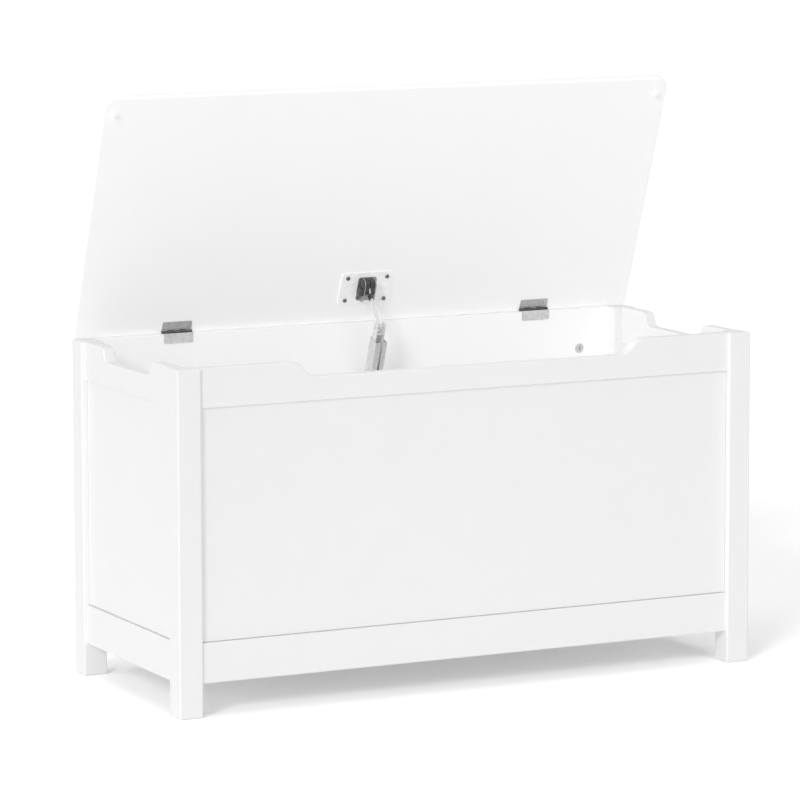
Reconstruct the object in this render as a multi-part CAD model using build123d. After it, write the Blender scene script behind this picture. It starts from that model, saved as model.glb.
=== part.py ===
from build123d import *
import os
from math import cos, radians, sin

# Storage bench with a hinged lid, in millimetres.
# X runs along the bench, +Y points to its back and +Z up. The origin is on the floor,
# below the middle of the four legs. The lid is drawn open, where its stay holds it.
#
# Each side is a glued frame of two legs, two rails and a panel. The front rails and
# panel and the one-piece back board are drawn up to the legs with cam fittings. The
# bottom board lies on battens. The lid turns on two cranked butt hinges, and a spring
# stay in the middle of the back board links it to a sliding yoke.

# Carcass
LENGTH = 920
DEPTH = 380
LEG_HEIGHT = 492
LEG = 36
LEG_ROUND = 2.5
EDGE_ROUND = 2

RAIL = 18
RAIL_INSET = 5
RAIL_TOP = (436, LEG_HEIGHT)
RAIL_BOTTOM = (47, 105)
PANEL = 12
PANEL_INSET = 9
PANEL_REBATE = 0.8
TONGUE = 5
TONGUE_DEPTH = 6
GROOVE_PLAY = 0.3

BACK_BOARD = 15
BOTTOM_BOARD = 9
BATTEN = 18
BATTEN_LOW = 48

# Finger scoops in the top rails: depth, half of the flat, half of the whole mouth
FRONT_SCOOP = (22, 244, 283)
SIDE_SCOOP = (21, 68, 94)

# Lid and hinges
LID_LENGTH = 920
LID_DEPTH = 381
LID = 18
LID_OPEN = 70
LID_CORNER = 18
LID_EDGE = 3
HINGE_X = 297
HINGE_Y = 181
HINGE_LENGTH = 47
LEAF = 1
KNUCKLE_RADIUS = 2.2
PIN_RADIUS = 1
RUNNING_FIT = 0.05
KNUCKLE_LIFT = 0.3
KNUCKLES = 5
KNUCKLE_GAP = 0.15
LEAF_GAP = 0.4
LEAF_DROP = 14
LID_LEAF_WIDTH = 19
LEAF_CORNER = 2.5
LEAF_SCREW_X = 16
BODY_SCREW_DROP = 7.5
LID_SCREW_IN = 13
BUMPER_RADIUS = 5
LID_REAR = HINGE_Y + 3.5
HINGE_Z = LEG_HEIGHT + KNUCKLE_LIFT + KNUCKLE_RADIUS
LID_UNDER = HINGE_Z + KNUCKLE_RADIUS + KNUCKLE_LIFT

# Cam fittings and dowels
CAM_RADIUS = 7.5
CAM_DEPTH = 12
CAM_BOLT_DEEP = 7.5
CAM_REACH = 50
CAM_FROM_EDGE = 16
CAM_BACK_Z = 430
CAM_BOLT_RADIUS = 2.5
CAM_BOLT_HEAD = (3.4, 4)
CAM_BOLT_IN_LEG = 12
CAM_BOLT_PLAY = 0.4
DOWEL_RADIUS = 4
DOWEL_LENGTH = 30
DOWEL_FROM_EDGE = 14
DOWEL_END_PLAY = 0.6
BORE_PLAY = 0.1

# Screws and rivets: head radius, shank radius, length
BATTEN_SCREW = (3.8, 1.9, 30)
HINGE_SCREW = (2.9, 1.5, 12)
STAY_SCREW = (3.3, 1.7, 14)
WALL_SCREW = (3.3, 1.7, 12)
STAY_RIVET = (2.4, 1.5, 3)
HOUSING_RIVET = (3, 1.7)
SCREW_HOLE = 1.9
BATTEN_SCREWS_X = (-380, -190, 0, 190, 380)
BATTEN_SCREWS_Y = (-90, 0, 90)

# Lid stay: its bracket on the lid
STAY_X = 4
STAY_FROM_REAR = 55.5
STAY_PIN_DROP = 10
STAY_PLATE = (86, 53, 1.5)
STAY_SCREW_SPACING = (64.6, 36.2)
BRACKET = (30, 38, 1.5)
BRACKET_RIVETS = [(-12.5, 13.5), (12.5, -13.5)]
EAR_GAP = 16
EAR_DROP = 16
STAY_PIN = 2.5
STAY_PIN_HEAD = 1.2
PAD_RADIUS = 6.4
PAD_TAIL = 16
PAD_TAIL_DROP = 4
CAP_THICK = 3
CAP_REACH = (-18, 8)
CAP_BOSS = (6.5, 4)

# Lid stay: the arm, yoke, spring and housing
ARM_THICK = 2
ARM_WIDTH = 8
ARM_HEADS = (5, 6)
SLEEVE = (7, 16)
SLEEVE_WALL = 0.3
STAY_TILT = 19
HOUSING_TOP = (120.9, 471.5)
HOUSING = (19, 23, 118)
HOUSING_WALL = 1.2
HOUSING_SLOT = 3.4
REAR_SLOT = 52
HOUSING_RIVET_Z = (-72, -100)
YOKE_RISE = 20
YOKE_BACK = 3
YOKE_WIDTH = 14
YOKE_DEPTH = 12
YOKE_PLATE = 1.5
YOKE_TAIL = -40
YOKE_CROWN = 6
YOKE_SEAT = 2
SEAT_DROP = 9
YOKE_STUD = (2, 2.8, 0.9)
SPRING_RADIUS = 4.4
SPRING_WIRE = 0.6
SPRING_TURNS = 22
FOOT = 4
WALL_BRACKET = (56, 72, 1.5)
WALL_BRACKET_LOW = 344
CHEEK_SPAN = (-58, -112)

# Places that follow from the sizes above
END = LENGTH / 2
FRONT = -DEPTH / 2
BACK = DEPTH / 2
SPAN_X = LENGTH - 2 * LEG
SPAN_Y = DEPTH - 2 * LEG
RAIL_INNER = RAIL_INSET + RAIL
BACK_INNER = BACK - BACK_BOARD
BOTTOM_LOW = BATTEN_LOW + BATTEN
PANEL_MIDDLE = PANEL_INSET + PANEL / 2
LEAF_TOP = (LEG_HEIGHT, LEG_HEIGHT + LEAF)
HINGE_AXIS = Axis((0, HINGE_Y, HINGE_Z), (1, 0, 0))
BODY_SCREW_ROW = (BACK_INNER - LEAF, LEG_HEIGHT - BODY_SCREW_DROP)
LID_SCREW_ROW = (LID_REAR - LID_SCREW_IN, LID_UNDER - LEAF)
STAY_Y = LID_REAR - STAY_FROM_REAR
STAY_PLATE_FACE = LID_UNDER - STAY_PLATE[2]
BRACKET_FACE = STAY_PLATE_FACE - BRACKET[2]
# The middle of the lid bracket's pin, on the closed lid
STAY_PIN_AT = (STAY_X, STAY_Y, LID_UNDER - STAY_PIN_DROP)

# The stay's housing: local y points to the back and local z up the housing, from its rim.
STAY_AXIS = Vector(0, -sin(radians(STAY_TILT)), cos(radians(STAY_TILT)))
STAY_ACROSS = Vector(0, cos(radians(STAY_TILT)), sin(radians(STAY_TILT)))
RIM = Vector(STAY_X, *HOUSING_TOP)
STAY_PLANE = Plane(origin=RIM, x_dir=(1, 0, 0), z_dir=STAY_AXIS)
YOKE_PIN = RIM + STAY_AXIS * YOKE_RISE + STAY_ACROSS * YOKE_BACK

LOW = (Align.CENTER, Align.CENTER, Align.MIN)
HIGH = (Align.CENTER, Align.CENTER, Align.MAX)


def block(x, y, z):
    """A box between two limits along each axis."""
    size = [high - low for low, high in (x, y, z)]
    middle = [(low + high) / 2 for low, high in (x, y, z)]
    return Pos(*middle) * Box(*size)


def rod(start, toward, radius, length):
    """A cylinder that begins at a point and runs along a direction."""
    return Plane(origin=start, z_dir=toward) * Cylinder(radius, length, align=LOW)


def swung(shape):
    """Turns a piece drawn on the closed lid to where the open lid has it."""
    return shape.rotate(HINGE_AXIS, -LID_OPEN)


def cut(shape, cutters):
    """Takes away the cutters that reach into a shape."""
    box = shape.bounding_box()
    for cutter in cutters:
        other = cutter.bounding_box()
        near = all(
            low < far and near_side < high
            for low, high, near_side, far in zip(box.min, box.max, other.min, other.max)
        )
        if near:
            shape = shape - cutter
    return shape


# ---- Fasteners ----


def recess(radius, depth):
    """The cross slot in a screw head whose face is at z = 0."""
    arm = Box(radius * 1.25, radius * 0.3, depth * 2)
    return arm + Rot(0, 0, 90) * arm


def pan_screw(head_radius, shank_radius, length):
    """A screw with a domed head standing on z = 0 and its shank below."""
    head = Cylinder(head_radius, head_radius * 0.55, align=LOW)
    head = fillet(head.edges().group_by(Axis.Z)[-1], head_radius * 0.4)
    head = head - Pos(0, 0, head_radius * 0.55) * recess(head_radius, head_radius * 0.3)
    return head + Pos(0, 0, -length) * Cylinder(shank_radius, length, align=LOW)


def flat_screw(head_radius, shank_radius, length):
    """A countersunk screw whose face is at z = 0."""
    sink = head_radius - shank_radius
    cone = Pos(0, 0, -sink) * Cone(shank_radius, head_radius, sink, align=LOW)
    shank = Pos(0, 0, -length) * Cylinder(shank_radius, length - sink, align=LOW)
    return cone + shank - recess(head_radius, sink * 0.6)


def flat_bore(head_radius, shank_radius, length):
    """The hole that a countersunk screw goes in."""
    sink = head_radius - shank_radius
    cone = Cone(shank_radius + BORE_PLAY, head_radius + BORE_PLAY, sink, align=LOW)
    shank = Cylinder(shank_radius + BORE_PLAY, length + 1, align=LOW)
    return Pos(0, 0, -sink) * cone + Pos(0, 0, -length - 1) * shank


def rivet(head_radius, shank_radius, grip):
    """A rivet with a domed head above z = 0 and its shank below."""
    dome = Cylinder(head_radius, head_radius * 0.5, align=LOW)
    dome = fillet(dome.edges().group_by(Axis.Z)[-1], head_radius * 0.4)
    return dome + Pos(0, 0, -grip) * Cylinder(shank_radius, grip, align=LOW)


def set_at(shape, point, outward):
    """Places a fastener with its head's face on a point, facing outward."""
    return Plane(origin=point, z_dir=outward) * shape


# ---- Carcass ----


def scooped(rail, scoop):
    """Cuts a finger scoop with reverse-curve ends into a rail's top edge."""
    depth, half_flat, half_mouth = scoop
    top = RAIL_TOP[1]
    run = half_mouth - half_flat
    bend = (run**2 + depth**2) / (4 * depth)
    drop = depth / 2
    step = run / 2

    def end(side):
        crest = RadiusArc(
            (side * half_mouth, top),
            (side * (half_mouth - step), top - drop),
            side * -bend,
        )
        sole = RadiusArc(
            (side * (half_mouth - step), top - drop),
            (side * half_flat, top - depth),
            side * bend,
        )
        return [crest, sole]

    flat = Line((-half_flat, top - depth), (half_flat, top - depth))
    clear = top + depth
    above = Polyline(
        (-half_mouth, top),
        (-half_mouth, clear),
        (half_mouth, clear),
        (half_mouth, top),
    )
    outline = make_face(Curve() + [*end(-1), flat, *end(1), above])
    return rail - extrude(Plane.XZ * outline, -RAIL_INNER * 2, both=True)


def top_rail(span, scoop):
    """A frame's top rail, seen from its outer side, with the leg's face at y = 0."""
    rail = block((-span / 2, span / 2), (RAIL_INSET, RAIL_INNER), RAIL_TOP)
    rail = scooped(rail, scoop)
    crown = [
        edge
        for edge in rail.edges()
        if edge.center().Z > RAIL_TOP[1] - scoop[0] - 1
        and abs(edge.center().X) < span / 2 - 1
        and abs(edge.tangent_at(0).Y) < 0.5
    ]
    rail = fillet(crown, EDGE_ROUND)
    return rail - tongue_room(span, RAIL_TOP[0], 1)


def bottom_rail(span):
    """A frame's bottom rail, in the same place as the top one."""
    rail = block((-span / 2, span / 2), (RAIL_INSET, RAIL_INNER), RAIL_BOTTOM)
    low = rail.edges().filter_by(Axis.X).group_by(Axis.Z)[0]
    rail = fillet(low, EDGE_ROUND)
    return rail - tongue_room(span, RAIL_BOTTOM[1], -1)


def tongue_room(span, edge, up):
    """The groove along a rail's edge that takes the panel's tongue."""
    half = (TONGUE + GROOVE_PLAY) / 2
    deep = edge + up * (TONGUE_DEPTH + GROOVE_PLAY)
    return block(
        (-span / 2 - 1, span / 2 + 1),
        (PANEL_MIDDLE - half, PANEL_MIDDLE + half),
        (min(edge, deep), max(edge, deep)),
    )


def panel(span):
    """The panel between a frame's rails and legs, tongued all round, rebated in front."""
    board = block(
        (-span / 2, span / 2),
        (PANEL_MIDDLE, PANEL_INSET + PANEL),
        (RAIL_BOTTOM[1], RAIL_TOP[0]),
    )
    face = block(
        (-span / 2 + PANEL_REBATE, span / 2 - PANEL_REBATE),
        (PANEL_INSET, PANEL_MIDDLE),
        (RAIL_BOTTOM[1] + PANEL_REBATE, RAIL_TOP[0] - PANEL_REBATE),
    )
    tongue = block(
        (-span / 2 - TONGUE_DEPTH, span / 2 + TONGUE_DEPTH),
        (PANEL_MIDDLE - TONGUE / 2, PANEL_MIDDLE + TONGUE / 2),
        (RAIL_BOTTOM[1] - TONGUE_DEPTH, RAIL_TOP[0] + TONGUE_DEPTH),
    )
    return board + face + tongue


def leg(side, end):
    """One leg with its grooves; side is -1 on the left, end is -1 at the front."""
    centre_x = side * (END - LEG / 2)
    centre_y = end * (BACK - LEG / 2)
    post = Pos(centre_x, centre_y, 0) * Box(LEG, LEG, LEG_HEIGHT, align=LOW)
    post = fillet(post.edges().filter_by(Axis.Z), LEG_ROUND)
    post = fillet(post.edges().group_by(Axis.Z)[-1], EDGE_ROUND)
    post = chamfer(post.edges().group_by(Axis.Z)[0], 1)
    half = (TONGUE + GROOVE_PLAY) / 2
    deep = TONGUE_DEPTH + GROOVE_PLAY
    height = (RAIL_BOTTOM[1] - deep, RAIL_TOP[0] + deep)
    face_y = end * (BACK - LEG)
    groove_x = side * (END - PANEL_MIDDLE)
    reach_y = sorted((face_y, face_y + end * deep))
    post = post - block((groove_x - half, groove_x + half), reach_y, height)
    if end < 0:
        face_x = side * (END - LEG)
        groove_y = FRONT + PANEL_MIDDLE
        reach_x = sorted((face_x, face_x + side * deep))
        post = post - block(reach_x, (groove_y - half, groove_y + half), height)
    return post


def on_side(shape, side):
    """Moves a frame piece from the front's place to the left or right side."""
    return Pos(side * END, 0, 0) * Rot(0, 0, side * 90) * shape


def back_board():
    """The one-piece back, flush with the rear faces of the legs."""
    board = block(
        (-SPAN_X / 2, SPAN_X / 2), (BACK_INNER, BACK), (RAIL_BOTTOM[0], LEG_HEIGHT)
    )
    long_edges = board.edges().filter_by(Axis.X)
    return fillet(long_edges, EDGE_ROUND / 2)


def bottom_board():
    """The loose bottom, notched round the legs."""
    play = 0.5
    inner = END - RAIL_INNER - play
    board = block(
        (-inner, inner),
        (FRONT + RAIL_INNER + play, BACK_INNER - play),
        (BOTTOM_LOW, BOTTOM_LOW + BOTTOM_BOARD),
    )
    for side in (-1, 1):
        for end in (-1, 1):
            corner = Pos(side * (END - LEG / 2), end * (BACK - LEG / 2), BOTTOM_LOW)
            room = LEG + 2 * play
            board = board - corner * Box(room, room, BOTTOM_BOARD * 3)
    return board


def batten(x, y):
    """A square batten that carries the bottom board."""
    stick = block(x, y, (BATTEN_LOW, BOTTOM_LOW))
    return chamfer(stick.edges(), 0.8)


# ---- Where the dowels, cams and batten screws go ----


def dowel_places():
    """The middle of each dowel, on the seam that it bridges, and its direction."""
    seam_x = SPAN_X / 2
    seam_y = SPAN_Y / 2
    rail_middle = RAIL_INSET + RAIL / 2
    places = []
    for side in (-1, 1):
        for height in (RAIL_TOP[1] - DOWEL_FROM_EDGE, RAIL_BOTTOM[0] + DOWEL_FROM_EDGE):
            places.append(((side * seam_x, FRONT + rail_middle, height), (1, 0, 0)))
            places.append(((side * seam_x, BACK - BACK_BOARD / 2, height), (1, 0, 0)))
        for end in (-1, 1):
            for low, high in (RAIL_TOP, RAIL_BOTTOM):
                for height in (low + DOWEL_FROM_EDGE, high - DOWEL_FROM_EDGE):
                    at = (side * (END - rail_middle), end * seam_y, height)
                    places.append((at, (0, 1, 0)))
    return places


def dowel(point, along, play=0):
    """A dowel, or its bore when there is play."""
    length = DOWEL_LENGTH + 2 * play
    return Plane(origin=point, z_dir=along) * Cylinder(DOWEL_RADIUS + play / 2, length)


def cam_places():
    """The centre of each cam on its board's inner face, its side and its outward way."""
    places = []
    for side in (-1, 1):
        x = side * (SPAN_X / 2 - CAM_REACH)
        for height in (RAIL_TOP[0] + CAM_FROM_EDGE, RAIL_BOTTOM[1] - CAM_FROM_EDGE):
            places.append(((x, FRONT + RAIL_INNER, height), side, 1))
        for height in (CAM_BACK_Z, RAIL_BOTTOM[1] - CAM_FROM_EDGE):
            places.append(((x, BACK_INNER, height), side, -1))
    return places


def cam_bolt(place):
    """The bolt from a leg to its cam, with a round head that the cam draws in."""
    (x, y, z), side, way = place
    centre = (x, y - way * CAM_BOLT_DEEP, z)
    shank = rod(centre, (side, 0, 0), CAM_BOLT_RADIUS, CAM_REACH + CAM_BOLT_IN_LEG)
    head_radius, head_length = CAM_BOLT_HEAD
    return shank + Plane(origin=centre, z_dir=(side, 0, 0)) * Cylinder(head_radius, head_length)


def cam_bolt_bore(place):
    """The stepped bore for a cam bolt, wide enough for its head up to the leg."""
    (x, y, z), side, way = place
    centre = (x, y - way * CAM_BOLT_DEEP, z)
    length = CAM_REACH + CAM_BOLT_IN_LEG + CAM_BOLT_PLAY
    shank = rod(centre, (side, 0, 0), CAM_BOLT_RADIUS + CAM_BOLT_PLAY, length)
    return shank + rod(centre, (side, 0, 0), CAM_BOLT_HEAD[0] + CAM_BOLT_PLAY, CAM_REACH)


def cam(place):
    """A cam drum flush with the board's inner face, hollowed round its bolt."""
    (x, y, z), side, way = place
    drum = Cylinder(CAM_RADIUS - BORE_PLAY, CAM_DEPTH - 0.3, align=HIGH)
    drum = drum - recess(CAM_RADIUS * 0.8, 2.5)
    rim = Cylinder(CAM_RADIUS * 0.86, 0.6) - Cylinder(CAM_RADIUS * 0.74, 1)
    drum = set_at(drum - rim, (x, y, z), (0, way, 0))
    centre = Plane(origin=(x, y - way * CAM_BOLT_DEEP, z), z_dir=(side, 0, 0))
    head_radius, head_length = CAM_BOLT_HEAD
    room = Cylinder(head_radius + CAM_BOLT_PLAY, head_length + 2 * CAM_BOLT_PLAY)
    return drum - centre * room - cam_bolt_bore(place)


def cam_bore(place):
    """The blind bore that takes a cam drum."""
    (x, y, z), side, way = place
    return rod((x, y + way, z), (0, -way, 0), CAM_RADIUS, CAM_DEPTH + 1)


def batten_screw_places():
    """The face of each batten screw and the way that it faces."""
    middle = BATTEN_LOW + BATTEN / 2
    front = FRONT + RAIL_INNER + BATTEN
    back = BACK_INNER - BATTEN
    side_face = END - RAIL_INNER - BATTEN
    places = []
    for x in BATTEN_SCREWS_X:
        places.append(((x, front, middle), (0, 1, 0)))
        places.append(((x, back, middle), (0, -1, 0)))
    for side in (-1, 1):
        for y in BATTEN_SCREWS_Y:
            places.append(((side * side_face, y, middle), (-side, 0, 0)))
    return places


# ---- Lid and hinges, drawn closed ----


def lid_board():
    """The lid: one board with rounded front corners and softened edges."""
    board = block(
        (-LID_LENGTH / 2, LID_LENGTH / 2),
        (LID_REAR - LID_DEPTH, LID_REAR),
        (LID_UNDER, LID_UNDER + LID),
    )
    upright = board.edges().filter_by(Axis.Z).group_by(Axis.Y)
    board = fillet(upright[0], LID_CORNER)
    board = fillet(board.edges().filter_by(Axis.Z).group_by(Axis.Y)[-1], LID_EDGE + 1)
    rims = board.edges().group_by(Axis.Z)
    return fillet(rims[0] + rims[-1], LID_EDGE)


def knuckle_spans(first):
    """The stretches along X of every second knuckle of a hinge centred on x = 0."""
    pitch = HINGE_LENGTH / KNUCKLES
    starts = [i * pitch - HINGE_LENGTH / 2 for i in range(first, KNUCKLES, 2)]
    return [(start + KNUCKLE_GAP, start + pitch - KNUCKLE_GAP) for start in starts]


def barrels(spans, finger_z):
    """Rolled knuckles with the fingers that join them to their leaf."""
    rolled = Part()
    for low, high in spans:
        start = (low, HINGE_Y, HINGE_Z)
        barrel = rod(start, (1, 0, 0), KNUCKLE_RADIUS, high - low)
        finger = block((low, high), (HINGE_Y - KNUCKLE_RADIUS - 0.5, HINGE_Y), finger_z)
        bore = rod(start, (1, 0, 0), PIN_RADIUS + RUNNING_FIT, high - low)
        rolled += barrel + finger - bore
    return rolled


def leaf_screws(row):
    """The two screw places along a leaf, for a row of (y, z)."""
    return [(offset, *row) for offset in (-LEAF_SCREW_X, LEAF_SCREW_X)]


def body_leaf():
    """The cranked leaf: over the back board's top edge and down its inner face."""
    half = HINGE_LENGTH / 2
    rear = HINGE_Y - KNUCKLE_RADIUS - LEAF_GAP
    front = BACK_INNER - LEAF
    over = block((-half, half), (front, rear), LEAF_TOP)
    face = block((-half, half), (front, BACK_INNER), (LEG_HEIGHT - LEAF_DROP, LEAF_TOP[1]))
    corners = face.edges().filter_by(Axis.Y).group_by(Axis.Z)[0]
    leaf = over + fillet(corners, LEAF_CORNER) + barrels(knuckle_spans(0), LEAF_TOP)
    bore = flat_bore(*HINGE_SCREW)
    return cut(leaf, [set_at(bore, at, (0, -1, 0)) for at in leaf_screws(BODY_SCREW_ROW)])


def lid_leaf():
    """The flat leaf under the lid."""
    under = (LID_UNDER - LEAF, LID_UNDER)
    half = HINGE_LENGTH / 2
    rear = HINGE_Y - KNUCKLE_RADIUS - LEAF_GAP
    plate = block((-half, half), (LID_REAR - LID_LEAF_WIDTH, rear), under)
    corners = plate.edges().filter_by(Axis.Z).group_by(Axis.Y)[0]
    leaf = fillet(corners, LEAF_CORNER) + barrels(knuckle_spans(1), under)
    bore = flat_bore(*HINGE_SCREW)
    return cut(leaf, [set_at(bore, at, (0, 0, -1)) for at in leaf_screws(LID_SCREW_ROW)])


def hinge_pin():
    """The pin through all the knuckles, with a small head at each end."""
    half = HINGE_LENGTH / 2
    start = (-half, HINGE_Y, HINGE_Z)
    pin = rod(start, (1, 0, 0), PIN_RADIUS, HINGE_LENGTH)
    for side in (-1, 1):
        pin += rod((side * half, HINGE_Y, HINGE_Z), (side, 0, 0), KNUCKLE_RADIUS * 0.8, 0.8)
    return pin


def bumper_places():
    """The lid's front corners, above the front legs."""
    return [(side * (END - LEG / 2), FRONT + LEG / 2, LID_UNDER) for side in (-1, 1)]


def bumper(point):
    """A soft clear bumper stuck under the lid."""
    height = LID_UNDER - LEG_HEIGHT - 0.1
    pad = rod(point, (0, 0, -1), BUMPER_RADIUS, height)
    return fillet(pad.edges().group_by(Axis.Z)[0], 1.5)


# ---- Lid stay: the lid's side, drawn closed ----


def stay_screw_points():
    """The four screw places on the lid plate."""
    dx, dy = (spacing / 2 for spacing in STAY_SCREW_SPACING)
    return [
        (STAY_X + i * dx, STAY_Y + j * dy, STAY_PLATE_FACE) for i in (-1, 1) for j in (-1, 1)
    ]


def bracket_rivet_points():
    """The rivet places on the bracket's feet."""
    return [(STAY_X + x, STAY_Y + y, BRACKET_FACE) for x, y in BRACKET_RIVETS]


def lid_plate():
    """The plate screwed under the lid."""
    width, depth, thick = STAY_PLATE
    plate = Pos(STAY_X, STAY_Y, STAY_PLATE_FACE) * Box(width, depth, thick, align=LOW)
    plate = fillet(plate.edges().filter_by(Axis.Z), 6)
    plate = fillet(plate.edges().group_by(Axis.Z)[0], 0.5)
    holes = [rod((x, y, z - 1), (0, 0, 1), SCREW_HOLE, thick + 2) for x, y, z in stay_screw_points()]
    holes += [
        rod(point, (0, 0, 1), STAY_RIVET[1] + BORE_PLAY, STAY_RIVET[2] + BORE_PLAY)
        for point in bracket_rivet_points()
    ]
    return cut(plate, holes)


def ear(side):
    """One ear of the lid bracket, rounded where it ends."""
    thick = BRACKET[2]
    reach = BRACKET[1] / 2 - 1
    inner = STAY_X + side * EAR_GAP / 2
    plate = block(
        sorted((inner, inner + side * thick)),
        (STAY_Y - reach, STAY_Y + reach),
        (LID_UNDER - EAR_DROP, STAY_PLATE_FACE - thick / 2),
    )
    return fillet(plate.edges().filter_by(Axis.X).group_by(Axis.Z)[0], EAR_DROP / 2)


def lid_bracket():
    """The hat-shaped bracket: a base riveted to the plate and two ears."""
    width, depth, thick = BRACKET
    base = Pos(STAY_X, STAY_Y, BRACKET_FACE) * Box(width, depth, thick, align=LOW)
    shape = fillet(base.edges().filter_by(Axis.Z), 4) + ear(-1) + ear(1)
    x, y, z = STAY_PIN_AT
    holes = [rod((x - width, y, z), (1, 0, 0), STAY_PIN + RUNNING_FIT, width * 2)]
    holes += [
        rod((px, py, pz - 1), (0, 0, 1), STAY_RIVET[1] + BORE_PLAY, thick + 2)
        for px, py, pz in bracket_rivet_points()
    ]
    return cut(shape, holes)


def stay_pin():
    """The pin through the ears and the arm."""
    x, y, z = STAY_PIN_AT
    reach = EAR_GAP / 2 + BRACKET[2] + 0.4
    pin = rod((x - reach, y, z), (1, 0, 0), STAY_PIN, reach * 2)
    for side in (-1, 1):
        pin += rod((x + side * reach, y, z), (side, 0, 0), STAY_PIN + 1.2, STAY_PIN_HEAD)
    return pin


def friction_pads():
    """The two pads that grip the arm; their tails under the base keep them from turning."""
    x, y, z = STAY_PIN_AT
    near = ARM_THICK / 2 + BORE_PLAY
    far = EAR_GAP / 2 - BORE_PLAY
    pads = Part()
    for side in (-1, 1):
        start = (x + side * near, y, z)
        tail = block(
            sorted((x + side * near, x + side * far)),
            (y - PAD_TAIL, y),
            (z - PAD_TAIL_DROP, BRACKET_FACE - 0.2),
        )
        tail = fillet(tail.edges().filter_by(Axis.X).group_by(Axis.Y)[0], 2.5)
        bore = rod(start, (side, 0, 0), STAY_PIN + RUNNING_FIT, far)
        pads += rod(start, (side, 0, 0), PAD_RADIUS, far - near) + tail - bore
    return pads


def ear_cap():
    """The cap over the left ear and the pin's left head."""
    x, y, z = STAY_PIN_AT
    ear_face = x - EAR_GAP / 2 - BRACKET[2] - 0.05
    plate = block(
        (ear_face - CAP_THICK, ear_face),
        (y + CAP_REACH[0], y + CAP_REACH[1]),
        (LID_UNDER - EAR_DROP, BRACKET_FACE - 0.2),
    )
    plate = fillet(plate.edges().filter_by(Axis.X).group_by(Axis.Z)[0], EAR_DROP / 2 - 1)
    boss_radius, boss_rise = CAP_BOSS
    boss = rod((ear_face, y, z), (-1, 0, 0), boss_radius, CAP_THICK + boss_rise)
    boss = fillet(boss.edges().group_by(Axis.X)[0], 1.5)
    head_room = rod((ear_face + 1, y, z), (-1, 0, 0), STAY_PIN + 1.4, STAY_PIN_HEAD + 2)
    return plate + boss - head_room


# ---- Lid stay: the arm, yoke, spring and housing, drawn open ----


def lid_pin_open():
    """The lid bracket's pin where the open lid has it."""
    y, z = STAY_PIN_AT[1:]
    dy, dz = y - HINGE_Y, z - HINGE_Z
    turn = radians(LID_OPEN)
    return Vector(
        STAY_X,
        HINGE_Y + dy * cos(turn) + dz * sin(turn),
        HINGE_Z - dy * sin(turn) + dz * cos(turn),
    )


def arm_plane(origin):
    """A plane across the bench at a point, with local x along the arm towards the lid."""
    return Plane(origin=origin, x_dir=lid_pin_open() - YOKE_PIN, z_dir=(1, 0, 0))


def stay_arm():
    """The flat arm from the lid bracket's pin to the yoke's studs, eyed at both ends."""
    length = (lid_pin_open() - YOKE_PIN).length
    low_head, high_head = ARM_HEADS
    strip = Rectangle(length, ARM_WIDTH, align=(Align.MIN, Align.CENTER))
    outline = strip + Circle(low_head) + Pos(length, 0) * Circle(high_head)
    outline = fillet(outline.vertices(), high_head)
    holes = Circle(YOKE_STUD[0] + 0.6) + Pos(length, 0) * Circle(STAY_PIN + RUNNING_FIT)
    return extrude(arm_plane(YOKE_PIN) * (outline - holes), ARM_THICK / 2, both=True)


def arm_sleeve():
    """The thin sleeve on the arm, just below its upper head."""
    start, end = SLEEVE
    middle = -(start + end) / 2
    tube = Rectangle(end - start, ARM_WIDTH + 2 * (SLEEVE_WALL + 0.05))
    outer = extrude(tube, ARM_THICK / 2 + SLEEVE_WALL + 0.05, both=True)
    outer = fillet(outer.edges().filter_by(Axis.X), SLEEVE_WALL)
    inner = Box(end, ARM_WIDTH + 0.1, ARM_THICK + 0.1)
    return arm_plane(lid_pin_open()) * Pos(middle, 0, 0) * (outer - inner)


def yoke():
    """The sliding yoke: two guide plates joined by the spring's upper seat."""
    half = YOKE_WIDTH / 2
    across = (YOKE_BACK - YOKE_DEPTH / 2, YOKE_BACK + YOKE_DEPTH / 2)
    seat_top = YOKE_RISE - SEAT_DROP
    shape = block((-half, half), across, (seat_top - YOKE_SEAT, seat_top))
    for side in (-1, 1):
        reach = sorted((side * half, side * (half - YOKE_PLATE)))
        plate = block(reach, across, (YOKE_TAIL, YOKE_RISE + YOKE_CROWN))
        shape += fillet(plate.edges().filter_by(Axis.X), 3)
    radius = YOKE_STUD[0] + BORE_PLAY
    bore = rod((-half - 1, YOKE_BACK, YOKE_RISE), (1, 0, 0), radius, YOKE_WIDTH + 2)
    return STAY_PLANE * (shape - bore)


def yoke_studs():
    """A riveted stud in each guide plate that carries the arm's lower eye."""
    half = YOKE_WIDTH / 2
    radius, head_radius, head = YOKE_STUD
    inward = half - ARM_THICK / 2 - 0.3
    studs = Part()
    for side in (-1, 1):
        face = (side * half, YOKE_BACK, YOKE_RISE)
        studs += rod(face, (-side, 0, 0), radius, inward)
        studs += rod(face, (side, 0, 0), head_radius, head)
    return STAY_PLANE * studs


def spring():
    """The compression spring between the yoke's seat and the foot of the housing."""
    high = YOKE_RISE - SEAT_DROP - YOKE_SEAT - 0.2
    low = FOOT + 0.2 - HOUSING[2]
    rise = high - low - 2 * SPRING_WIRE
    coil = Helix(rise / SPRING_TURNS, rise, SPRING_RADIUS)
    section = Plane(origin=coil @ 0, z_dir=coil % 0) * Circle(SPRING_WIRE)
    wire = sweep(section, path=coil, is_frenet=True)
    return STAY_PLANE * Pos(0, YOKE_BACK, low + SPRING_WIRE) * wire


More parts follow.
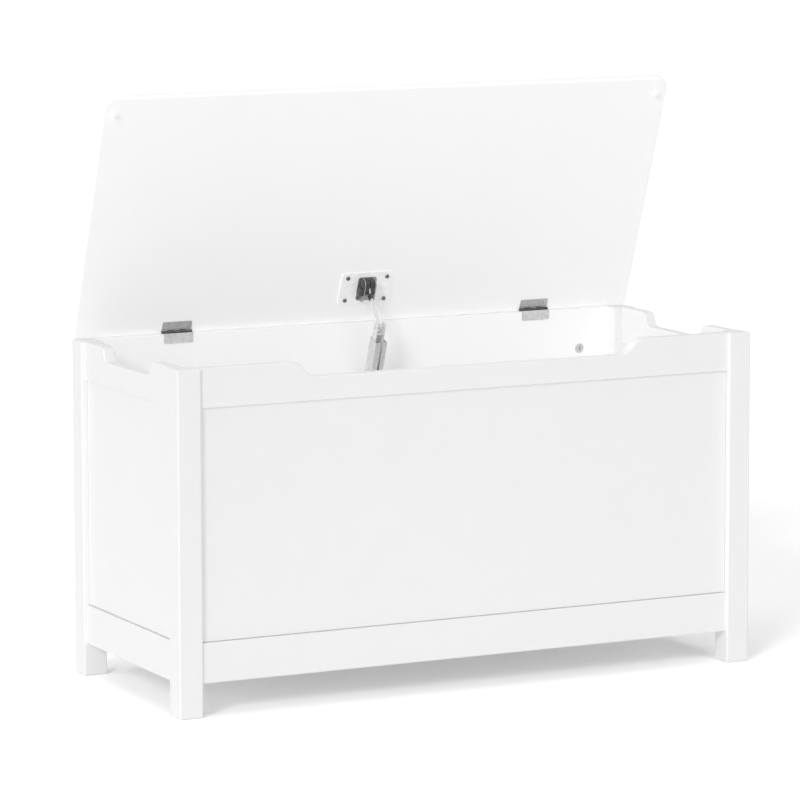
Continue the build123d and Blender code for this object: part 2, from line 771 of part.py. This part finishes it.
def housing():
    """The square tube that the yoke slides in, slotted at its front and its upper rear."""
    width, depth, length = HOUSING
    wall = HOUSING_WALL
    tube = Box(width, depth, length, align=HIGH)
    tube = fillet(tube.edges().filter_by(Axis.Z), 1.6)
    bore = Box(width - 2 * wall, depth - 2 * wall, length * 3)
    slot = Pos(0, -depth / 2, 0) * Box(HOUSING_SLOT, wall * 4, length * 3)
    rear_slot = Pos(0, depth / 2, 0) * Box(HOUSING_SLOT, wall * 4, REAR_SLOT * 2)
    radius = HOUSING_RIVET[1] + BORE_PLAY
    holes = [rod((-width, 0, z), (1, 0, 0), radius, width * 2) for z in HOUSING_RIVET_Z]
    return STAY_PLANE * cut(tube - bore - slot - rear_slot, holes)


def spring_foot():
    """The block that closes the housing's lower end and seats the spring."""
    width, depth, length = HOUSING
    play = 2 * (HOUSING_WALL + 0.1)
    foot = Pos(0, 0, -length) * Box(width - play, depth - play, FOOT, align=LOW)
    return STAY_PLANE * chamfer(foot.edges().filter_by(Axis.Z), 0.8)


def wall_screw_points():
    """The four screws that hold the stay's wall bracket."""
    width, height, thick = WALL_BRACKET
    dx, dz = width / 2 - 7, height / 2 - 8
    middle = WALL_BRACKET_LOW + height / 2
    y = BACK_INNER - thick
    return [(STAY_X + i * dx, y, middle + j * dz) for i in (-1, 1) for j in (-1, 1)]


def wall_bracket():
    """The bracket that holds the housing off the back board: a plate with two cheeks."""
    width, height, thick = WALL_BRACKET
    face = BACK_INNER - thick
    plate = block(
        (STAY_X - width / 2, STAY_X + width / 2),
        (face, BACK_INNER),
        (WALL_BRACKET_LOW, WALL_BRACKET_LOW + height),
    )
    high, low = (RIM + STAY_AXIS * z - STAY_ACROSS * 6 for z in CHEEK_SPAN)
    root = face + thick / 2
    profile = Polyline(
        (root, WALL_BRACKET_LOW + 4),
        (low.Y, low.Z),
        (high.Y, high.Z),
        (root, WALL_BRACKET_LOW + height - 4),
        close=True,
    )
    cheek = extrude(Plane.YZ * make_face(profile), thick)
    half = HOUSING[0] / 2 + BORE_PLAY
    shape = fillet(plate.edges().filter_by(Axis.Y), 5)
    shape += Pos(STAY_X + half, 0, 0) * cheek
    shape += Pos(STAY_X - half - thick, 0, 0) * cheek
    holes = [rod((x, y - 1, z), (0, 1, 0), SCREW_HOLE, thick + 2) for x, y, z in wall_screw_points()]
    radius = HOUSING_RIVET[1] + BORE_PLAY
    holes += [
        STAY_PLANE * rod((-width, 0, z), (1, 0, 0), radius, width * 2) for z in HOUSING_RIVET_Z
    ]
    return cut(shape, holes)


def housing_rivets():
    """Short rivets that join each cheek to its side of the housing."""
    head_radius, shank_radius = HOUSING_RIVET
    cheek = WALL_BRACKET[2] + BORE_PLAY
    outer = HOUSING[0] / 2 + cheek
    group = Part()
    for side in (-1, 1):
        for z in HOUSING_RIVET_Z:
            shape = rivet(head_radius, shank_radius, cheek + HOUSING_WALL)
            group += set_at(shape, (side * outer, 0, z), (side, 0, 0))
    return STAY_PLANE * group


# ---- Assembly ----


def joined(solids):
    """Separate solids that share one node."""
    return Compound(children=list(solids))


def build():
    """Every piece of the bench by its node's name."""
    parts = {}
    dowels = dowel_places()
    cams = cam_places()
    wood_bores = [dowel(point, along, play=DOWEL_END_PLAY) for point, along in dowels]
    wood_bores += [cam_bolt_bore(place) for place in cams]
    wood_bores += [cam_bore(place) for place in cams]
    wood_bores += [
        set_at(flat_bore(*BATTEN_SCREW), point, way) for point, way in batten_screw_places()
    ]
    back_bores = [
        set_at(flat_bore(*HINGE_SCREW), (side * HINGE_X + x, y, z), (0, -1, 0))
        for side in (-1, 1)
        for x, y, z in leaf_screws(BODY_SCREW_ROW)
    ]
    back_bores += [
        rod(point, (0, 1, 0), WALL_SCREW[1] + BORE_PLAY, WALL_SCREW[2] + 1)
        for point in wall_screw_points()
    ]

    ends = {-1: "front", 1: "rear"}
    sides = {-1: "left", 1: "right"}
    for side, side_name in sides.items():
        for end, end_name in ends.items():
            parts[f"leg_{end_name}_{side_name}"] = cut(leg(side, end), wood_bores)
        top = on_side(top_rail(SPAN_Y, SIDE_SCOOP), side)
        low = on_side(bottom_rail(SPAN_Y), side)
        parts[f"{side_name}_top_rail"] = cut(top, wood_bores)
        parts[f"{side_name}_bottom_rail"] = cut(low, wood_bores)
        parts[f"{side_name}_panel"] = on_side(panel(SPAN_Y), side)

    to_front = Pos(0, FRONT, 0)
    parts["front_top_rail"] = cut(to_front * top_rail(SPAN_X, FRONT_SCOOP), wood_bores)
    parts["front_bottom_rail"] = cut(to_front * bottom_rail(SPAN_X), wood_bores)
    parts["front_panel"] = to_front * panel(SPAN_X)
    parts["back_board"] = cut(back_board(), wood_bores + back_bores)
    parts["bottom_board"] = bottom_board()

    long_way = (-SPAN_X / 2 + 1, SPAN_X / 2 - 1)
    front_inner = FRONT + RAIL_INNER
    short_way = (front_inner + BATTEN + 1, BACK - LEG - 1)
    battens = {
        "batten_front": batten(long_way, (front_inner, front_inner + BATTEN)),
        "batten_back": batten(long_way, (BACK_INNER - BATTEN, BACK_INNER)),
    }
    for side, side_name in sides.items():
        reach = sorted((side * (END - RAIL_INNER), side * (END - RAIL_INNER - BATTEN)))
        battens[f"batten_{side_name}"] = batten(reach, short_way)
    for name, stick in battens.items():
        parts[name] = cut(stick, wood_bores)

    parts["dowels"] = joined(dowel(point, along) for point, along in dowels)
    parts["cam_locks"] = joined(cam(place) for place in cams)
    parts["cam_bolts"] = joined(cam_bolt(place) for place in cams)
    parts["batten_screws"] = joined(
        set_at(flat_screw(*BATTEN_SCREW), point, way) for point, way in batten_screw_places()
    )

    lid_bores = [
        set_at(flat_bore(*HINGE_SCREW), (side * HINGE_X + x, y, z), (0, 0, -1))
        for side in (-1, 1)
        for x, y, z in leaf_screws(LID_SCREW_ROW)
    ]
    lid_bores += [
        rod(point, (0, 0, 1), STAY_SCREW[1] + BORE_PLAY, STAY_SCREW[2] + 1)
        for point in stay_screw_points()
    ]
    parts["lid"] = swung(cut(lid_board(), lid_bores))
    for side, side_name in sides.items():
        at = Pos(side * HINGE_X, 0, 0)
        parts[f"hinge_body_leaf_{side_name}"] = at * body_leaf()
        parts[f"hinge_lid_leaf_{side_name}"] = swung(at * lid_leaf())
        parts[f"hinge_pin_{side_name}"] = at * hinge_pin()
    parts["hinge_body_screws"] = joined(
        set_at(flat_screw(*HINGE_SCREW), (side * HINGE_X + x, y, z), (0, -1, 0))
        for side in (-1, 1)
        for x, y, z in leaf_screws(BODY_SCREW_ROW)
    )
    parts["hinge_lid_screws"] = joined(
        swung(set_at(flat_screw(*HINGE_SCREW), (side * HINGE_X + x, y, z), (0, 0, -1)))
        for side in (-1, 1)
        for x, y, z in leaf_screws(LID_SCREW_ROW)
    )
    parts["lid_bumpers"] = joined(swung(bumper(point)) for point in bumper_places())

    parts["stay_lid_plate"] = swung(lid_plate())
    parts["stay_lid_bracket"] = swung(lid_bracket())
    parts["stay_lid_screws"] = joined(
        swung(set_at(pan_screw(*STAY_SCREW), point, (0, 0, -1))) for point in stay_screw_points()
    )
    parts["stay_bracket_rivets"] = joined(
        swung(set_at(rivet(*STAY_RIVET), point, (0, 0, -1))) for point in bracket_rivet_points()
    )
    parts["stay_lid_pin"] = swung(stay_pin())
    parts["stay_friction_pads"] = joined(swung(friction_pads()).solids())
    parts["stay_ear_cap"] = swung(ear_cap())
    parts["stay_arm"] = stay_arm()
    parts["stay_arm_sleeve"] = arm_sleeve()
    parts["stay_yoke"] = yoke()
    parts["stay_yoke_studs"] = joined(yoke_studs().solids())
    parts["stay_spring"] = spring()
    parts["stay_spring_foot"] = spring_foot()
    parts["stay_housing"] = housing()
    parts["stay_wall_bracket"] = wall_bracket()
    parts["stay_housing_rivets"] = joined(housing_rivets().solids())
    parts["stay_wall_screws"] = joined(
        set_at(pan_screw(*WALL_SCREW), point, (0, -1, 0)) for point in wall_screw_points()
    )
    return parts


os.makedirs("parts", exist_ok=True)
for node, shape in build().items():
    export_step(shape, f"parts/{node}.step")
    print(node, len(shape.solids()))
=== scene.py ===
import math

import bmesh
import bpy
from mathutils import Matrix, Vector

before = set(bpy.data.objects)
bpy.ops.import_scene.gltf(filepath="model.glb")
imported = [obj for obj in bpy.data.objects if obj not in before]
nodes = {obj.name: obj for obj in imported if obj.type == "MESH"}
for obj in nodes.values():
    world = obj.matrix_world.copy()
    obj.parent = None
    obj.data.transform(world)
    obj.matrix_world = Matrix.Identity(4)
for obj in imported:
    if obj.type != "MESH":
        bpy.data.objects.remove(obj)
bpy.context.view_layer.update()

# ---- Camera: where it stands in the bench's own frame, in metres and degrees ----

CAMERA_AT = (-2.9366, -5.8101, 1.3305)
CAMERA_YAW = 26.644
CAMERA_DOWN = 8.163
CAMERA_ROLL = -0.074
CAMERA_LENS = 202.21
CAMERA_SENSOR = 36


def make_camera():
    """The camera at the viewing angle of the picture."""
    data = bpy.data.cameras.new("camera")
    data.lens = CAMERA_LENS
    data.sensor_width = CAMERA_SENSOR
    data.clip_start, data.clip_end = 0.1, 200
    camera = bpy.data.objects.new("camera", data)
    bpy.context.scene.collection.objects.link(camera)
    yaw, down, roll = (math.radians(a) for a in (CAMERA_YAW, CAMERA_DOWN, CAMERA_ROLL))
    forward = Vector(
        (math.sin(yaw) * math.cos(down), math.cos(yaw) * math.cos(down), -math.sin(down))
    )
    right = Vector((math.cos(yaw), -math.sin(yaw), 0))
    up = right.cross(forward)
    level_right, level_up = right.copy(), up.copy()
    right = math.cos(roll) * level_right + math.sin(roll) * level_up
    up = math.cos(roll) * level_up - math.sin(roll) * level_right
    turn = Matrix((right, up, -forward)).transposed()
    camera.matrix_world = Matrix.Translation(CAMERA_AT) @ turn.to_4x4()
    bpy.context.scene.camera = camera


make_camera()

# ---- Node helpers ----


class Maker:
    """A material's node tree, with short ways to add and join nodes."""

    def __init__(self, name):
        self.material = bpy.data.materials.new(name)
        self.material.use_nodes = True
        self.tree = self.material.node_tree
        self.tree.nodes.clear()
        self.shader = self.add("ShaderNodeBsdfPrincipled")
        self.output = self.add("ShaderNodeOutputMaterial")
        self.join(self.shader.outputs["BSDF"], self.output.inputs["Surface"])
        self.place = self.add("ShaderNodeTexCoord").outputs["Object"]

    def add(self, kind, **values):
        node = self.tree.nodes.new(kind)
        for key, value in values.items():
            setattr(node, key, value)
        return node

    def join(self, start, end):
        self.tree.links.new(start, end)

    def put(self, socket, value):
        """Joins an output to a socket, or sets the socket to a plain value."""
        if isinstance(value, bpy.types.NodeSocket):
            self.join(value, socket)
        else:
            socket.default_value = value

    def stretched(self, scale):
        """The object coordinates, scaled differently along each axis."""
        mapping = self.add("ShaderNodeMapping")
        self.join(self.place, mapping.inputs["Vector"])
        mapping.inputs["Scale"].default_value = scale
        return mapping.outputs["Vector"]

    def noise(self, scale, detail=2.0, rough=0.5, vector=None, distortion=0.0):
        node = self.add("ShaderNodeTexNoise")
        self.join(vector or self.place, node.inputs["Vector"])
        node.inputs["Scale"].default_value = scale
        node.inputs["Detail"].default_value = detail
        node.inputs["Roughness"].default_value = rough
        node.inputs["Distortion"].default_value = distortion
        return node.outputs["Fac"]

    def cells(self, scale, vector):
        node = self.add("ShaderNodeTexVoronoi", feature="F1")
        self.join(vector, node.inputs["Vector"])
        node.inputs["Scale"].default_value = scale
        return node.outputs["Color"]

    def span(self, value, low, high, to_low=0.0, to_high=1.0, smooth=False):
        """Maps a value from one range to another, clamped at its ends."""
        node = self.add("ShaderNodeMapRange")
        if smooth:
            node.interpolation_type = "SMOOTHSTEP"
        self.put(node.inputs["Value"], value)
        ends = (("From Min", low), ("From Max", high), ("To Min", to_low), ("To Max", to_high))
        for name, end in ends:
            node.inputs[name].default_value = end
        return node.outputs["Result"]

    def combine(self, first, second, operation="ADD"):
        """Adds two values, or works another operation on them."""
        node = self.add("ShaderNodeMath", operation=operation)
        self.put(node.inputs[0], first)
        self.put(node.inputs[1], second)
        return node.outputs[0]

    def mix(self, share, first, second, blend="MIX"):
        node = self.add("ShaderNodeMix", data_type="RGBA", blend_type=blend)
        self.put(node.inputs["Factor"], share)
        for socket, value in zip([s for s in node.inputs if s.type == "RGBA"], (first, second)):
            self.put(socket, value)
        return [s for s in node.outputs if s.type == "RGBA"][0]

    def bumps(self, *layers):
        """Bump from layers of (height, distance in metres, strength)."""
        normal = None
        for height, distance, strength in layers:
            node = self.add("ShaderNodeBump")
            self.join(height, node.inputs["Height"])
            node.inputs["Distance"].default_value = distance
            node.inputs["Strength"].default_value = strength
            if normal:
                self.join(normal, node.inputs["Normal"])
            normal = node.outputs["Normal"]
        self.join(normal, self.shader.inputs["Normal"])

    def edges(self, radius):
        """1 on a piece's sharp and rounded edges, 0 on its faces."""
        bevel = self.add("ShaderNodeBevel", samples=3)
        bevel.inputs["Radius"].default_value = radius
        flat = self.add("ShaderNodeNewGeometry").outputs["Normal"]
        dot = self.add("ShaderNodeVectorMath", operation="DOT_PRODUCT")
        self.join(bevel.outputs["Normal"], dot.inputs[0])
        self.join(flat, dot.inputs[1])
        return self.span(dot.outputs["Value"], 0.995, 0.86)

    def finish(self, colour, roughness, **plain):
        """Sets the shader: colour and roughness from nodes, the rest as plain values."""
        self.put(self.shader.inputs["Base Color"], colour)
        self.put(self.shader.inputs["Roughness"], roughness)
        for name, value in plain.items():
            self.shader.inputs[name.replace("_", " ")].default_value = value
        return self.material


def grey(value, warm=0.0):
    """A grey with a touch of warmth, as a linear colour."""
    return (value * (1 + warm), value, value * (1 - warm), 1)


# ---- Materials ----

# How far from an edge each finish shows its wear, in metres
LACQUER_EDGE = 0.0022
METAL_EDGE = 0.0006
ENAMEL_EDGE = 0.0007
NYLON_EDGE = 0.0008

GRAIN_SCALE = {"X": (5, 190, 190), "Y": (190, 5, 190), "Z": (190, 190, 5)}
STREAK_STRETCH = 30  # how many times longer than wide plating streaks are


def lacquer(name, tone, along=None, worn=0.25):
    """Satin white lacquer: rolled-on texture, faint grain below it, soft wear on edges."""
    m = Maker(name)
    clouds = m.noise(2.4, 3)
    blotches = m.noise(26, 4, 0.6)
    share = m.combine(m.span(clouds, 0.3, 0.7, 0, 0.6), m.span(blotches, 0.35, 0.7, 0, 0.4))
    colour = m.mix(share, grey(tone), grey(tone * 0.982, 0.003))
    peel = m.noise(620, 2, 0.55)
    layers = [(peel, 0.00012, 0.22), (m.noise(75, 3), 0.0006, 0.05)]
    rough = m.span(m.noise(9, 5, 0.6), 0.3, 0.72, 0.3, 0.42)
    if along:
        lines = m.noise(1.0, 3, 0.65, m.stretched(GRAIN_SCALE[along]), 0.4)
        layers.append((lines, 0.00035, 0.1))
        colour = m.mix(m.span(lines, 0.52, 0.78, 0, 0.35), colour, grey(tone * 0.965, 0.004))
    rub = m.combine(m.edges(LACQUER_EDGE), m.span(m.noise(34, 5, 0.7), 0.42, 0.62), "MULTIPLY")
    colour = m.mix(m.combine(rub, worn, "MULTIPLY"), colour, grey(tone * 0.86, 0.02))
    rough = m.combine(rough, m.combine(rub, -0.08, "MULTIPLY"))
    m.bumps(*layers)
    return m.finish(colour, rough, Specular_IOR_Level=0.45, Coat_Weight=0.12, Coat_Roughness=0.3)


def faced_board(name, tone):
    """White-faced board: very fine pores and slight mottling."""
    m = Maker(name)
    share = m.span(m.noise(5, 4), 0.3, 0.7)
    colour = m.mix(share, grey(tone), grey(tone * 0.975, 0.004))
    pores = m.noise(900, 2, 0.6)
    scuffs = m.noise(1.0, 4, 0.7, m.stretched((14, 90, 90)), 0.8)
    colour = m.mix(m.span(scuffs, 0.6, 0.8, 0, 0.3), colour, grey(tone * 0.93, 0.01))
    m.bumps((pores, 0.0001, 0.3), (m.noise(60, 3), 0.0005, 0.06))
    return m.finish(colour, m.span(scuffs, 0.4, 0.7, 0.5, 0.62), Specular_IOR_Level=0.4)


HINGE_AXIS_AT = (0, 0.181, 0.4945)
# Painted shade along the knuckle line: dark to the first distance from the hinge axis, gone at the
# second
KNUCKLE_SHADE_REACH = (0.0023, 0.0027)
KNUCKLE_SHADE_TONE = 0.05


def knuckle_shade_share(m):
    """1 on a hinge's knuckles, painted dark as the shadow in the knuckle line, and 0 on its leaves.
    """
    from_axis = m.add("ShaderNodeVectorMath", operation="SUBTRACT")
    m.join(m.place, from_axis.inputs[0])
    from_axis.inputs[1].default_value = HINGE_AXIS_AT
    across = m.add("ShaderNodeVectorMath", operation="MULTIPLY")
    m.join(from_axis.outputs[0], across.inputs[0])
    across.inputs[1].default_value = (0, 1, 1)
    reach = m.add("ShaderNodeVectorMath", operation="LENGTH")
    m.join(across.outputs[0], reach.inputs[0])
    shade_patchiness = m.span(m.noise(420, 4, 0.7), 0.3, 0.6, 0.65, 1.0)
    return m.combine(m.span(reach.outputs["Value"], *KNUCKLE_SHADE_REACH, 1.0, 0.0), shade_patchiness, "MULTIPLY")


def plated(name, tone, rough, along="X", dull=0.25, fine=1500, knuckle_shaded=False):
    """Satin plated steel: drawn streaks, cloudy plating, fine pits and bright edges."""
    m = Maker(name)
    scale = tuple(fine / STREAK_STRETCH if axis == along else fine for axis in "XYZ")
    streaks = m.noise(1.0, 3, 0.7, m.stretched(scale))
    clouds = m.noise(160, 4, 0.6, distortion=0.5)
    colour = m.mix(m.span(clouds, 0.35, 0.7), grey(tone), grey(tone * (1 - dull)))
    colour = m.mix(m.span(streaks, 0.5, 0.75, 0, 0.4), colour, grey(tone * 0.72))
    colour = m.mix(m.combine(m.edges(METAL_EDGE), 0.5, "MULTIPLY"), colour, grey(min(1, tone * 1.25)))
    if knuckle_shaded:
        # painted shade: the knuckles are darkened as their own shadow would darken them
        colour = m.mix(knuckle_shade_share(m), colour, grey(KNUCKLE_SHADE_TONE, 0.03))
    roughness = m.combine(
        m.span(clouds, 0.3, 0.75, rough - 0.07, rough + 0.1), m.span(streaks, 0.4, 0.7, 0, 0.08)
    )
    m.bumps((streaks, 0.00004, 0.5), (m.noise(2600, 2), 0.00003, 0.35))
    return m.finish(colour, roughness, Metallic=1.0)


def galvanised(name, tone):
    """Hot-dipped sheet: spangled crystals a few millimetres across, and drawn lines."""
    m = Maker(name)
    warped = m.add("ShaderNodeVectorMath", operation="ADD")
    m.join(m.place, warped.inputs[0])
    wobble = m.add("ShaderNodeTexNoise")
    m.join(m.place, wobble.inputs["Vector"])
    wobble.inputs["Scale"].default_value = 260
    small = m.add("ShaderNodeVectorMath", operation="SCALE")
    m.join(wobble.outputs["Color"], small.inputs[0])
    small.inputs["Scale"].default_value = 0.0025
    m.join(small.outputs[0], warped.inputs[1])
    crystals = m.cells(300, warped.outputs[0])
    split = m.add("ShaderNodeSeparateColor")
    m.join(crystals, split.inputs[0])
    shade = split.outputs[0]
    lines = m.noise(1.0, 3, 0.6, m.stretched((1400, 1400, 40)))
    colour = m.mix(shade, grey(tone), grey(tone * 0.86, -0.01))
    colour = m.mix(m.span(lines, 0.5, 0.75, 0, 0.35), colour, grey(tone * 0.6))
    colour = m.mix(m.combine(m.edges(METAL_EDGE), 0.4, "MULTIPLY"), colour, grey(min(1, tone * 1.3)))
    m.bumps((shade, 0.00003, 0.4), (lines, 0.00005, 0.4))
    return m.finish(colour, m.span(shade, 0, 1, 0.3, 0.48), Metallic=1.0)


def enamel(name, tone, rough):
    """Stoved enamel on steel: soft orange peel and chips of a darker tone on the edges."""
    m = Maker(name)
    colour = m.mix(m.span(m.noise(45, 3), 0.3, 0.7), grey(tone), grey(tone * 0.95, 0.004))
    chips = m.combine(m.edges(ENAMEL_EDGE), m.span(m.noise(420, 4, 0.7), 0.52, 0.6), "MULTIPLY")
    colour = m.mix(m.combine(chips, 0.6, "MULTIPLY"), colour, grey(tone * 0.6))
    m.bumps((m.noise(700, 2), 0.00008, 0.25))
    return m.finish(colour, m.span(m.noise(120, 3), 0.3, 0.7, rough - 0.05, rough + 0.07),
                    Coat_Weight=0.3, Coat_Roughness=0.15)


def nylon(name, tone):
    """Moulded black nylon: sparked texture, dusty sheen and paler edges."""
    m = Maker(name)
    spark = m.noise(1900, 2, 0.6)
    dust = m.span(m.noise(180, 5, 0.7), 0.45, 0.75)
    colour = m.mix(dust, grey(tone), grey(tone * 1.9, 0.01))
    colour = m.mix(m.combine(m.edges(NYLON_EDGE), 0.35, "MULTIPLY"), colour, grey(tone * 3.2))
    m.bumps((spark, 0.00006, 0.6), (m.noise(240, 3), 0.0001, 0.2))
    return m.finish(colour, m.span(dust, 0, 1, 0.42, 0.6), Specular_IOR_Level=0.5)


def beech(name):
    """Steamed beech: pale brown with short dark flecks along its length."""
    m = Maker(name)
    flecks = m.noise(1.0, 3, 0.7, m.stretched((90, 1300, 1300)), 0.5)
    colour = m.mix(m.span(m.noise(60, 3), 0.3, 0.7), (0.58, 0.36, 0.18, 1), (0.66, 0.44, 0.25, 1))
    colour = m.mix(m.span(flecks, 0.55, 0.72), colour, (0.36, 0.2, 0.09, 1))
    m.bumps((flecks, 0.0002, 0.4))
    return m.finish(colour, m.span(flecks, 0.3, 0.8, 0.55, 0.75))


def soft_clear(name):
    """Milky clear soft plastic with a faint haze."""
    m = Maker(name)
    haze = m.noise(700, 3)
    colour = m.mix(m.span(haze, 0.3, 0.7), (0.95, 0.95, 0.95, 1), (0.88, 0.89, 0.89, 1))
    m.bumps((haze, 0.00005, 0.3))
    return m.finish(colour, m.span(haze, 0.3, 0.7, 0.18, 0.32), Subsurface_Weight=0.25)


LACQUER_TONE = 0.815
# Painted light: the lid and back board get lighter copies of the white lacquer, standing in for the
# brighter light that falls on them
# The lid's and back board's whites are lighter than the rest, fitted to the picture in this light
LID_PAINTED_LIGHT_TONE = 0.96
BACK_PAINTED_LIGHT_TONE = 0.965
finishes = {
    "legs": lacquer("lacquer_legs", LACQUER_TONE, "Z"),
    "along": lacquer("lacquer_along", LACQUER_TONE, "X"),
    "across": lacquer("lacquer_across", LACQUER_TONE, "Y"),
    "panel": lacquer("lacquer_panel", LACQUER_TONE, None, 0.1),
    # painted light: the lid and the back board get the lighter whites above
    "lid": lacquer("lacquer_lid_painted_light", LID_PAINTED_LIGHT_TONE, None, 0.3),
    "back": lacquer("lacquer_back_painted_light", BACK_PAINTED_LIGHT_TONE, None, 0.2),
    "board": faced_board("faced_board", 0.92),
    "batten": faced_board("batten_paint", 0.83),
    "beech": beech("beech"),
    "cam": plated("cam_zinc", 0.72, 0.42, "Z", dull=0.35),
    "steel": plated("bright_steel", 0.78, 0.32, "X"),
    "hinge": plated("hinge_zinc", 0.7, 0.34, "X", knuckle_shaded=True),
    # painted shade: the lid leaves, pins and lid screws get a darker copy of the hinge zinc
    "hinge_shaded": plated("hinge_zinc_painted_shade", 0.6, 0.36, "X", knuckle_shaded=True),
    "bracket": plated("bracket_steel", 0.5, 0.4, "Y", dull=0.3),
    "screw": plated("dark_screw", 0.3, 0.4, "X", dull=0.5),
    "plate": enamel("white_plate", 0.96, 0.28),
    "enamel": enamel("grey_enamel", 0.68, 0.35),
    "nylon": nylon("black_nylon", 0.04),
    "spring": plated("spring_steel", 0.45, 0.28, "Z", fine=2600),
    "sheet": galvanised("galvanised", 0.77),
    "clear": soft_clear("clear_bumper"),
}

use = {}
for side in ("left", "right"):
    for end in ("front", "rear"):
        use[f"leg_{end}_{side}"] = "legs"
    for level in ("top", "bottom"):
        use[f"{side}_{level}_rail"] = "across"
        use[f"front_{level}_rail"] = "along"
    use[f"{side}_panel"] = "panel"
    use[f"batten_{side}"] = "batten"
    use[f"hinge_body_leaf_{side}"] = "hinge"
    use[f"hinge_lid_leaf_{side}"] = "hinge_shaded"
    use[f"hinge_pin_{side}"] = "hinge_shaded"
use.update(
    front_panel="panel",
    back_board="back",
    bottom_board="board",
    batten_front="batten",
    batten_back="batten",
    dowels="beech",
    cam_locks="cam",
    cam_bolts="steel",
    batten_screws="steel",
    lid="lid",
    hinge_body_screws="hinge",
    hinge_lid_screws="hinge_shaded",
    lid_bumpers="clear",
    stay_lid_plate="plate",
    stay_lid_bracket="bracket",
    stay_lid_screws="screw",
    stay_bracket_rivets="screw",
    stay_lid_pin="steel",
    stay_friction_pads="nylon",
    stay_ear_cap="nylon",
    stay_arm="enamel",
    stay_arm_sleeve="nylon",
    stay_yoke="enamel",
    stay_yoke_studs="steel",
    stay_spring="spring",
    stay_spring_foot="nylon",
    stay_housing="sheet",
    stay_wall_bracket="sheet",
    stay_housing_rivets="steel",
    stay_wall_screws="screw",
)
for name, node in nodes.items():
    node.data.materials.clear()
    node.data.materials.append(finishes[use[name]])

# ---- Floor and light ----

FLOOR_RADIUS = 40
# How many times brighter the camera sees the floor, near the bench and far from it
FLOOR_SEEN = (1.42, 2.1)
FLOOR_FAR = (1.0, 7.0)  # where near begins to turn into far, and where it has, in metres
FLOOR_DROP = 0.0005  # how far the floor lies below the feet, in metres


def make_floor():
    """A pale floor that the camera alone sees brighter than it lights the bench."""
    mesh = bpy.data.meshes.new("floor")
    shape = bmesh.new()
    bmesh.ops.create_circle(shape, cap_ends=True, radius=FLOOR_RADIUS, segments=128)
    shape.to_mesh(mesh)
    shape.free()
    floor = bpy.data.objects.new("floor", mesh)
    bpy.context.scene.collection.objects.link(floor)
    floor.location = (0, 0, -FLOOR_DROP)
    m = Maker("floor_paint")
    away = m.add("ShaderNodeVectorMath", operation="LENGTH")
    m.join(m.place, away.inputs[0])
    far = m.span(away.outputs["Value"], *FLOOR_FAR, smooth=True)
    near = m.mix(m.span(m.noise(1.3, 3), 0.3, 0.7), grey(0.95), grey(0.94))
    colour = m.mix(far, near, grey(0.98))
    m.finish(colour, m.span(m.noise(3, 3), 0.3, 0.7, 0.7, 0.8), Specular_IOR_Level=0.2)
    seen = m.add("ShaderNodeBsdfDiffuse")
    whiter = m.mix(far, *(grey(factor) for factor in FLOOR_SEEN))
    m.join(m.mix(1.0, colour, whiter, "MULTIPLY"), seen.inputs["Color"])
    ray = m.add("ShaderNodeLightPath").outputs["Is Camera Ray"]
    pick = m.add("ShaderNodeMixShader")
    m.join(ray, pick.inputs[0])
    m.join(m.shader.outputs["BSDF"], pick.inputs[1])
    m.join(seen.outputs["BSDF"], pick.inputs[2])
    m.join(pick.outputs[0], m.output.inputs["Surface"])
    mesh.materials.append(m.material)


def area_light(name, at, toward, size, watts):
    """A square soft box at a point, facing another point."""
    data = bpy.data.lights.new(name, "AREA")
    data.shape = "SQUARE"
    data.size = size
    data.energy = watts
    light = bpy.data.objects.new(name, data)
    bpy.context.scene.collection.objects.link(light)
    light.location = at
    light.rotation_euler = (Vector(toward) - Vector(at)).to_track_quat("-Z", "Y").to_euler()


def sun_light(name, toward, share, spread, shadow):
    """An even light along a direction; share is how far it lights white, spread is its angle."""
    data = bpy.data.lights.new(name, "SUN")
    data.energy = share * math.pi
    data.angle = math.radians(spread)
    data.use_shadow = shadow
    light = bpy.data.objects.new(name, data)
    bpy.context.scene.collection.objects.link(light)
    light.rotation_euler = Vector(toward).to_track_quat("-Z", "Y").to_euler()


# The surround's strength for each kind of ray
WORLD_LIGHT = {"seen": 1.0, "mirrored": 0.8, "diffuse": 0.37}

SOFT_BOX_AT = (0, 0.3, 4.5)
SOFT_BOX_SIZE = 5.0
SOFT_BOX_WATTS = 72
# Suns: direction, share, spread in degrees, and whether it casts shadows. The lifts cast none.
SUNS = {
    "key": ((0.672, 0.585, -0.454), 0.33, 16, True),
    "lift_front": ((0, 1, 0), 0.29, 60, False),
    "lift_left": ((1, 0, 0), 0.345, 60, False),
}


def make_world():
    """An even white surround: pure white where seen, bright in metal, softer as fill."""
    world = bpy.data.worlds.new("studio")
    world.use_nodes = True
    tree = world.node_tree
    tree.nodes.clear()
    path = tree.nodes.new("ShaderNodeLightPath")
    surface = None
    for kind, ray in (("diffuse", None), ("mirrored", "Is Glossy Ray"), ("seen", "Is Camera Ray")):
        light = tree.nodes.new("ShaderNodeBackground")
        light.inputs["Color"].default_value = (1, 1, 1, 1)
        light.inputs["Strength"].default_value = WORLD_LIGHT[kind]
        if ray:
            pick = tree.nodes.new("ShaderNodeMixShader")
            tree.links.new(path.outputs[ray], pick.inputs[0])
            tree.links.new(surface, pick.inputs[1])
            tree.links.new(light.outputs[0], pick.inputs[2])
            surface = pick.outputs[0]
        else:
            surface = light.outputs[0]
    output = tree.nodes.new("ShaderNodeOutputWorld")
    tree.links.new(surface, output.inputs["Surface"])
    bpy.context.scene.world = world


make_floor()
make_world()
area_light("soft_box", SOFT_BOX_AT, (0, 0, 0), SOFT_BOX_SIZE, SOFT_BOX_WATTS)
for name, sun in SUNS.items():
    sun_light(name, *sun)
bpy.context.scene.view_settings.view_transform = "Standard"
bpy.context.scene.view_settings.look = "None"
